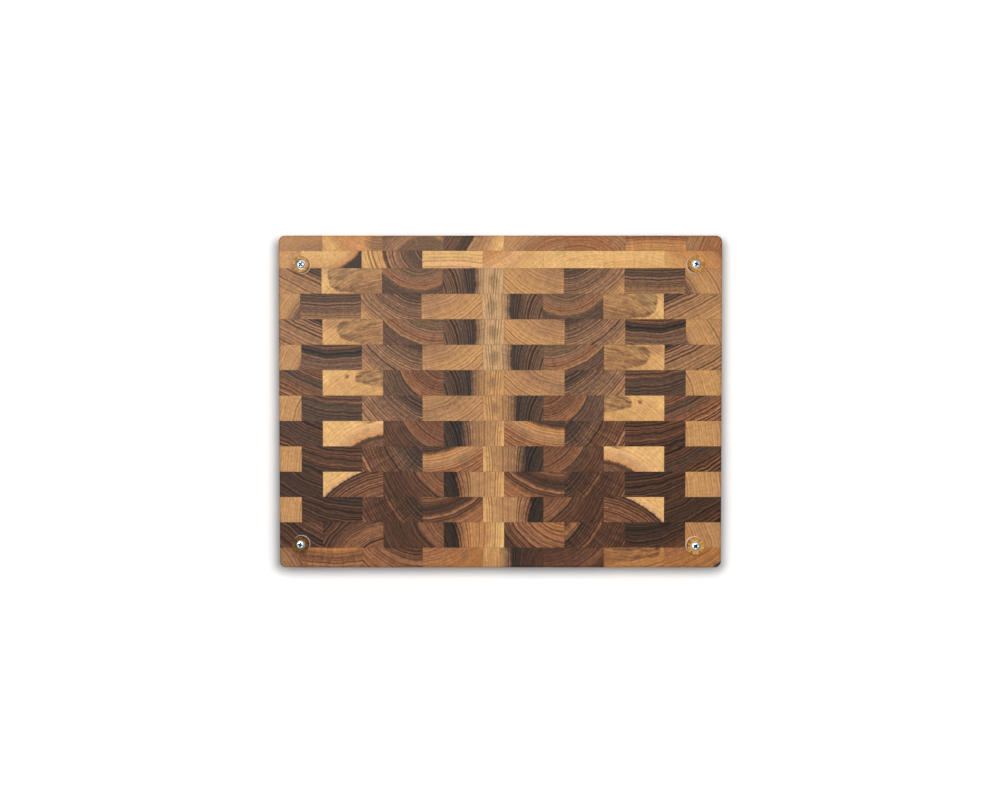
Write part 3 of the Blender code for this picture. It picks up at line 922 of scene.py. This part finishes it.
# Sizes in mm, and angles in degrees.
foot = {"base": 9.0, "ground": 8.55, "top": 9.77, "flare": 2.6, "waist": 0.08, "skirt": 0.2, "recess": 5.0,
        "recessTop": 4.9, "recessFloor": 4.9, "hole": 2.35, "edge": 0.6, "lip": 0.45, "fillet": 0.3,
        "edgeSteps": 6, "lipSteps": 5, "filletSteps": 4, "flareSteps": 5, "steps": 72, "smooth": 35}
washer = {"outer": 4.7, "inner": 2.3, "low": 3.72, "high": 4.86, "edge": 0.18, "edgeSteps": 3, "steps": 56,
          "smooth": 50}
screw = {"head": 3.95, "crown": 1.0, "crownDrop": 1.35, "crownSteps": 8, "flat": 1.5, "innerFlat": 0.9,
         "seat": 3.68, "chamfer": 0.15, "shank": 2.05, "shoulder": 0.4, "thread": 2.05, "root": 1.5,
         "threadStart": 8.2, "pointStart": 24.4, "tip": 28.7, "pitch": 2.8, "ridge": 0.22, "rows": 84,
         "steps": 48, "smooth": 32, "crossSpan": 6.0, "crossWing": 2.3, "crossDepth": 1.6, "crossTaper": 0.75}
screwTurns = {"front_left": 40, "front_right": 18, "back_left": 8, "back_right": 45}
# painted light: each screw head's colour made darker or lighter for how the lamps fall on it
screwPaintedBrightness = {"front_left": 0.6, "front_right": 1.0, "back_left": 1.0, "back_right": 1.2}
# painted light: how much light the wood behind each clear foot gives back, painted into the foot's colour
paintedWoodBehind = {"front_left": 0.85, "front_right": 1.03, "back_left": 0.31, "back_right": 1.15}


def turned(name, outline, place, steps):  # spins a closed outline of (radius, height) about a foot's axis
    x, y = place
    deselectAll()
    bpy.ops.mesh.primitive_circle_add(vertices=len(outline), fill_type="NOTHING")
    piece = bpy.context.object
    piece.name = name
    piece.data.name = name
    for corner, (radius, height) in zip(piece.data.vertices, outline):
        corner.co = (x + radius / mmPerMetre, y, height / mmPerMetre)
    bakePlace(piece)
    bpy.ops.object.mode_set(mode="EDIT")
    bpy.ops.mesh.select_all(action="SELECT")
    bpy.ops.mesh.spin(steps=steps, angle=2 * math.pi, center=(x, y, 0), axis=(0, 0, 1))
    bpy.ops.mesh.select_all(action="SELECT")
    bpy.ops.mesh.remove_doubles(threshold=hairline)
    bpy.ops.mesh.delete_loose()
    bpy.ops.mesh.select_all(action="SELECT")
    bpy.ops.mesh.normals_make_consistent(inside=False)
    bpy.ops.object.mode_set(mode="OBJECT")
    return piece


def arc(centre, radius, start, end, steps):  # part of a rounded edge, in degrees
    turns = [math.radians(start + (end - start) * k / steps) for k in range(steps + 1)]
    return [(centre[0] + radius * math.cos(t), centre[1] + radius * math.sin(t)) for t in turns]


def settle(piece, place, angle):  # smooth shading, and each point's place from the foot's axis for the finish
    holdOnly(piece)
    bpy.ops.object.shade_smooth_by_angle(angle=math.radians(angle))
    layer = piece.data.attributes.new("turnedPlace", "FLOAT_VECTOR", "POINT")
    middle = Vector((place[0], place[1], 0))
    layer.data.foreach_set("vector", [v for c in piece.data.vertices for v in (c.co - middle) * mmPerMetre])


def give(piece, name, value):  # one number over a whole piece, for its finish
    layer = piece.data.attributes.new(name, "FLOAT", "POINT")
    layer.data.foreach_set("value", [value] * len(piece.data.vertices))


def footOutline():
    edge, lip, fillet = foot["edge"], foot["lip"], foot["fillet"]
    base, top, floor = foot["base"], foot["top"], foot["recessFloor"]
    points = arc((foot["ground"] - edge, edge), edge, 0, -90, foot["edgeSteps"])
    points += arc((foot["recess"] + lip, lip), lip, 270, 180, foot["lipSteps"])
    points += arc((foot["recessTop"] - fillet, floor - fillet), fillet, 0, 90, foot["filletSteps"])
    points += [(foot["hole"], floor), (foot["hole"], top), (base, top)]
    narrow = base - foot["ground"] - foot["waist"]
    for k in range(1, foot["flareSteps"] + 1):    # hollow flare at the base
        t = k / foot["flareSteps"] * math.pi / 2
        points.append((base - narrow * math.sin(t), top - foot["skirt"] - foot["flare"] * (1 - math.cos(t))))
    return points


def washerOutline():
    edge, steps = washer["edge"], washer["edgeSteps"]
    inner, outer = washer["inner"] + edge, washer["outer"] - edge
    low, high = washer["low"] + edge, washer["high"] - edge
    corners = [(outer, low, 0, -90), (inner, low, 270, 180), (inner, high, 180, 90), (outer, high, 90, 0)]
    return [point for x, z, start, end in corners for point in arc((x, z), edge, start, end, steps)]


def screwOutline():
    head, crown, seat = screw["head"], screw["crown"], screw["seat"]
    points = [(0.0, crown), (screw["innerFlat"], crown)]
    for k in range(screw["crownSteps"] + 1):    # the pan head's crown, flat in the middle
        t = k / screw["crownSteps"] * math.pi / 2
        points.append((screw["flat"] + (head - screw["flat"]) * math.sin(t),
                       crown + screw["crownDrop"] * (1 - math.cos(t))))
    points += [(head, seat - screw["chamfer"]), (head - screw["chamfer"], seat), (screw["shank"], seat),
               (screw["shank"], screw["threadStart"] - screw["shoulder"])]
    for k in range(screw["rows"]):    # rows that the thread is wound on, down to the point
        z = screw["threadStart"] + (screw["tip"] - screw["threadStart"]) * k / screw["rows"]
        point = max(0.0, (z - screw["pointStart"]) / (screw["tip"] - screw["pointStart"]))
        points.append((screw["root"] * (1 - point), z))
    return points + [(0.0, screw["tip"])]


def windThread(piece, place):
    firstRow = screw["threadStart"] + 0.1    # mm, what lies before it stays plain
    onAxis = 0.05                            # mm, and so does the point
    for corner in piece.data.vertices:
        x, y, z = corner.co.x - place[0], corner.co.y - place[1], corner.co.z * mmPerMetre
        radius = math.hypot(x, y) * mmPerMetre
        if z < firstRow or radius < onAxis:
            continue
        wave = (z / screw["pitch"] - math.atan2(y, x) / (2 * math.pi)) % 1.0
        ridge = max(0.0, 1 - abs(wave - 0.5) / screw["ridge"]) * (screw["thread"] - screw["root"])
        grown = radius + ridge * min(1.0, radius / screw["root"])
        corner.co.x = place[0] + x * grown / radius
        corner.co.y = place[1] + y * grown / radius


def cutCross(piece, place, turn):
    crown = screw["crown"] / mmPerMetre
    span = screw["crossSpan"] / mmPerMetre
    wing = screw["crossWing"] / mmPerMetre
    depth = 2 * screw["crossDepth"] / mmPerMetre
    bars = []
    for quarter in (0, 90):
        deselectAll()
        bpy.ops.mesh.primitive_cube_add(size=1, location=(0, 0, crown))
        bar = bpy.context.object
        bar.scale = (span, wing, depth)
        bakePlace(bar)
        for corner in bar.data.vertices:    # the wings narrow towards the bottom of the recess
            if corner.co.z > crown:
                corner.co.x *= screw["crossTaper"]
                corner.co.y *= screw["crossTaper"]
        bar.rotation_euler = (0, 0, math.radians(turn + quarter))
        bar.location = (place[0], place[1], 0)
        bakePlace(bar)
        bars.append(bar)
    for bar in bars:
        cutAway(piece, bar)


# shadeAndDirt: colour of the painted shade deep in a recess, dark with a blue cast on the screws, and of
# cloudy dirt on the steel
brightSteel = {"tone": (0.78, 0.84, 0.86), "shadeAndDirt": (0.006, 0.018, 0.026), "rough": 0.26}
dullSteel = {"tone": (0.60, 0.52, 0.43), "shadeAndDirt": (0.30, 0.24, 0.19), "rough": 0.45}
steelMarks = {
    "brushShade": 0.82,
    "recessReach": (2.4, 2.6),      # mm, the painted shade inside the cross recess
    "recessDepth": (0.16, 0.3),
    "bump": 0.08,
    "bumpDepth": 0.00005,           # m
}


def steelFinish(name, steel):
    finish, wire, shader = newFinish(name)
    spot = wire.attribute("turnedPlace")
    x, y, z = spot.split()
    around = y.calc("ARCTAN2", x)
    reach = (x * x + y * y).calc("SQRT")
    brushed = wire.joined(around * 0.6, reach * 7.0, z * 2.0).noise(2.0, 3.0, 0.6)
    cloudy = spot.noise(0.7, 3.0, 0.6)
    shaded = tuple(c * steelMarks["brushShade"] for c in steel["tone"])
    # each piece's painted brightness darkens or lightens its steel colour
    clean = brushed.between(steel["tone"] + (1,), shaded + (1,)).scaled(wire.attribute("paintedBrightness", "Fac"))
    recessed = 1 - reach.step(*steelMarks["recessReach"])
    # painted shade deep in the cross recess, and some cloudy dirt over the rest
    deep = (z - screw["crown"]).step(*steelMarks["recessDepth"]) * recessed
    grimyAndShaded = (deep + cloudy.step(0.55, 0.8) * 0.25).held().between(clean, steel["shadeAndDirt"] + (1,))
    bump = {"Strength": steelMarks["bump"], "Distance": steelMarks["bumpDepth"], "Height": brushed}
    feed(shader, {"Base Color": grimyAndShaded,
                  "Roughness": steel["rough"] + brushed * 0.12 + cloudy * 0.08 + deep * 0.1,
                  "Normal": wire.node("ShaderNodeBump", {}, bump),
                  "Metallic": 1.0})
    return finish


clearRubber = {
    "amberDark": (0.36, 0.14, 0.022, 1),
    "amberPale": (0.72, 0.37, 0.075, 1),
    "lipTone": (0.58, 0.40, 0.27, 1),
    "recessTone": (0.50, 0.33, 0.20, 1),
    "paintedWallTone": (0.92, 0.88, 0.80, 1),
    "paintedRimGlow": (0.95, 0.93, 0.86, 1),    # painted glow: light that the rubber seems to carry to its rim
    "paintedGlow": 0.18,
    "lipReach": 5.3,                     # mm, the middle of the ring round the recess
    "lipHalf": 0.9,
    "paintedWallReach": (8.2, 8.4),
    "paintedWallHeight": (4.0, 8.4),
    "rough": 0.24,
    "clear": 0.35,                       # share of the light that goes through
    "bend": 1.45,                        # index of refraction
    "gloss": 0.004,
    "glossTint": (1.0, 0.72, 0.42, 1),
}


def clearFinish():
    rubber = clearRubber
    finish, wire, shader = newFinish("clearAmberRubber")
    spot = wire.attribute("turnedPlace")
    paintedBehind = wire.attribute("paintedWoodBehind", "Fac")
    x, y, z = spot.split()
    reach = (x * x + y * y).calc("SQRT")
    flutes = wire.joined(x / reach * 4.0, y / reach * 4.0, reach * 0.08 + paintedBehind * 9.0).noise(0.8, 1.0, 0.5)
    tone = flutes.step(0.35, 0.60).between(rubber["amberDark"], rubber["amberPale"])
    lip = ((reach - rubber["lipReach"]) / rubber["lipHalf"]).calc("ABSOLUTE")
    lip = (1 - lip.step(0.2, 1.0)) * (1 - z.step(0.6, 1.2))
    tone = (lip * 0.8).between(tone, rubber["lipTone"])
    inside = (1 - reach.step(foot["recess"] - 0.1, foot["recess"] + 0.1)) * z.step(0.5, 1.5)
    tone = (inside * 0.8).between(tone, rubber["recessTone"])
    # painted light: the foot's colour made darker or lighter by the wood behind it
    tone = tone.vector("MULTIPLY", wire.joined(paintedBehind, paintedBehind.calc("POWER", 1.25), paintedBehind.calc("POWER", 1.5)))
    # painted light: a pale crescent high on the outer wall, which also glows though it is no lamp
    paintedWall = z.step(*rubber["paintedWallHeight"]) * reach.step(*rubber["paintedWallReach"])
    tone = (paintedWall * 0.9).between(tone, rubber["paintedWallTone"])
    feed(shader, {"Base Color": tone,
                  "Roughness": rubber["rough"] + spot.noise(0.35, 2.0, 0.5) * 0.16,
                  "Emission Color": (paintedWall * (0.3 + paintedBehind * 0.7)).between((0, 0, 0, 1), rubber["paintedRimGlow"]),
                  "Emission Strength": rubber["paintedGlow"],
                  "Transmission Weight": rubber["clear"],
                  "IOR": rubber["bend"],
                  "Specular IOR Level": rubber["gloss"],
                  "Specular Tint": rubber["glossTint"]})
    return finish


def makeFeet():
    clear = clearFinish()
    bright = steelFinish("brightScrewSteel", brightSteel)
    dull = steelFinish("dullWasherSteel", dullSteel)
    for name in feetNames:
        place = footPlace(name)
        body = turned("clearFoot_" + name, footOutline(), place, foot["steps"])
        settle(body, place, foot["smooth"])
        give(body, "paintedWoodBehind", paintedWoodBehind[name])
        dress(body, "foot_" + name, clear)

        ring = turned("footWasher_" + name, washerOutline(), place, washer["steps"])
        settle(ring, place, washer["smooth"])
        # painted shade: a washer behind dark wood is dimmed along with its foot
        give(ring, "paintedBrightness", (1 + paintedWoodBehind[name]) / 2)
        dress(ring, "washer_" + name, dull)

        fixing = turned("footScrew_" + name, screwOutline(), place, screw["steps"])
        windThread(fixing, place)
        cutCross(fixing, place, screwTurns[name])
        settle(fixing, place, screw["smooth"])
        give(fixing, "paintedBrightness", screwPaintedBrightness[name])
        dress(fixing, "screw_" + name, bright)


makeFeet()
print("feet, washers and screws done")
